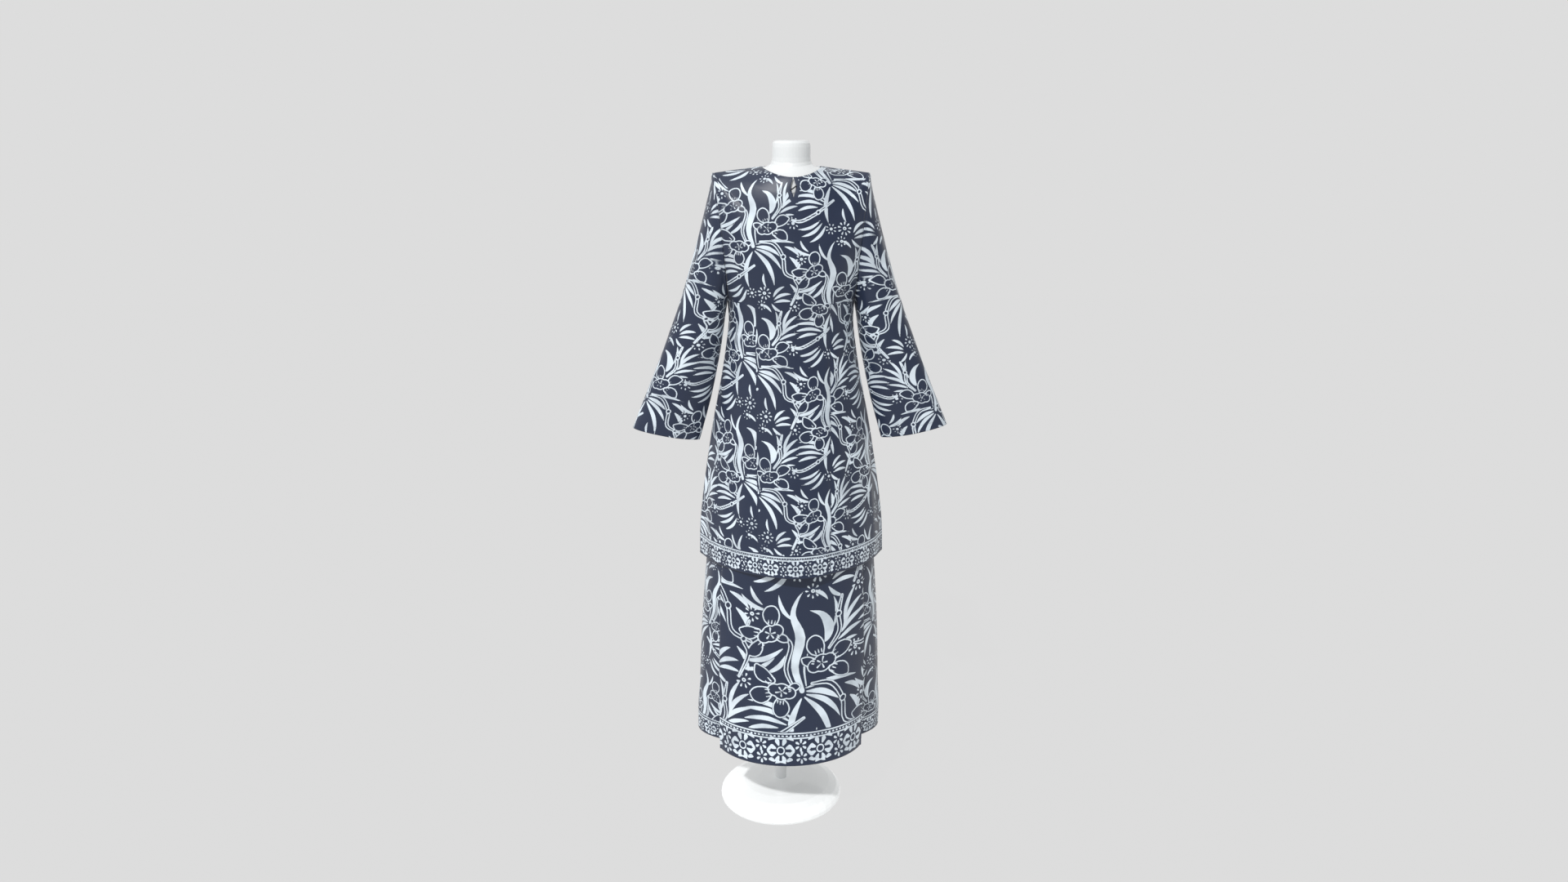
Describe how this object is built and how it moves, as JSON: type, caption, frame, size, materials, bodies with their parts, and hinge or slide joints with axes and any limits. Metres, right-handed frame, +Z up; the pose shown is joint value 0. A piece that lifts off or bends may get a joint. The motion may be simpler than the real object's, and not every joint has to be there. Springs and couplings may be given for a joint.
{
  "type": "baju kurung on a dress form",
  "caption": "Long-sleeved batik tunic over a pleated ankle-length skirt, worn on a limbless white dress form that stands on a rod and an oval base.",
  "frame": {"origin": "centre of the base's flat underside, straight under the rod", "axes": "+Z up, the garment faces -Y, so the wearer's right side is at -X"},
  "size_m": [0.764, 0.395, 1.701],
  "materials": {
    "batik_cloth": "navy satin cotton with a pale printed pattern",
    "loop_thread": "dark worked thread",
    "form_white": "smooth glossy white",
    "stand_white": "smooth glossy white"
  },
  "bodies": {
    "root": {"form_torso": "form_white", "stand_rod": "stand_white", "stand_base": "stand_white", "tunic_front": "batik_cloth", "tunic_back": "batik_cloth", "sleeve_left": "batik_cloth", "sleeve_right": "batik_cloth", "skirt_front": "batik_cloth", "skirt_back": "batik_cloth", "skirt_waistband": "batik_cloth", "neck_loop": "loop_thread"}
  },
  "joints": []
}
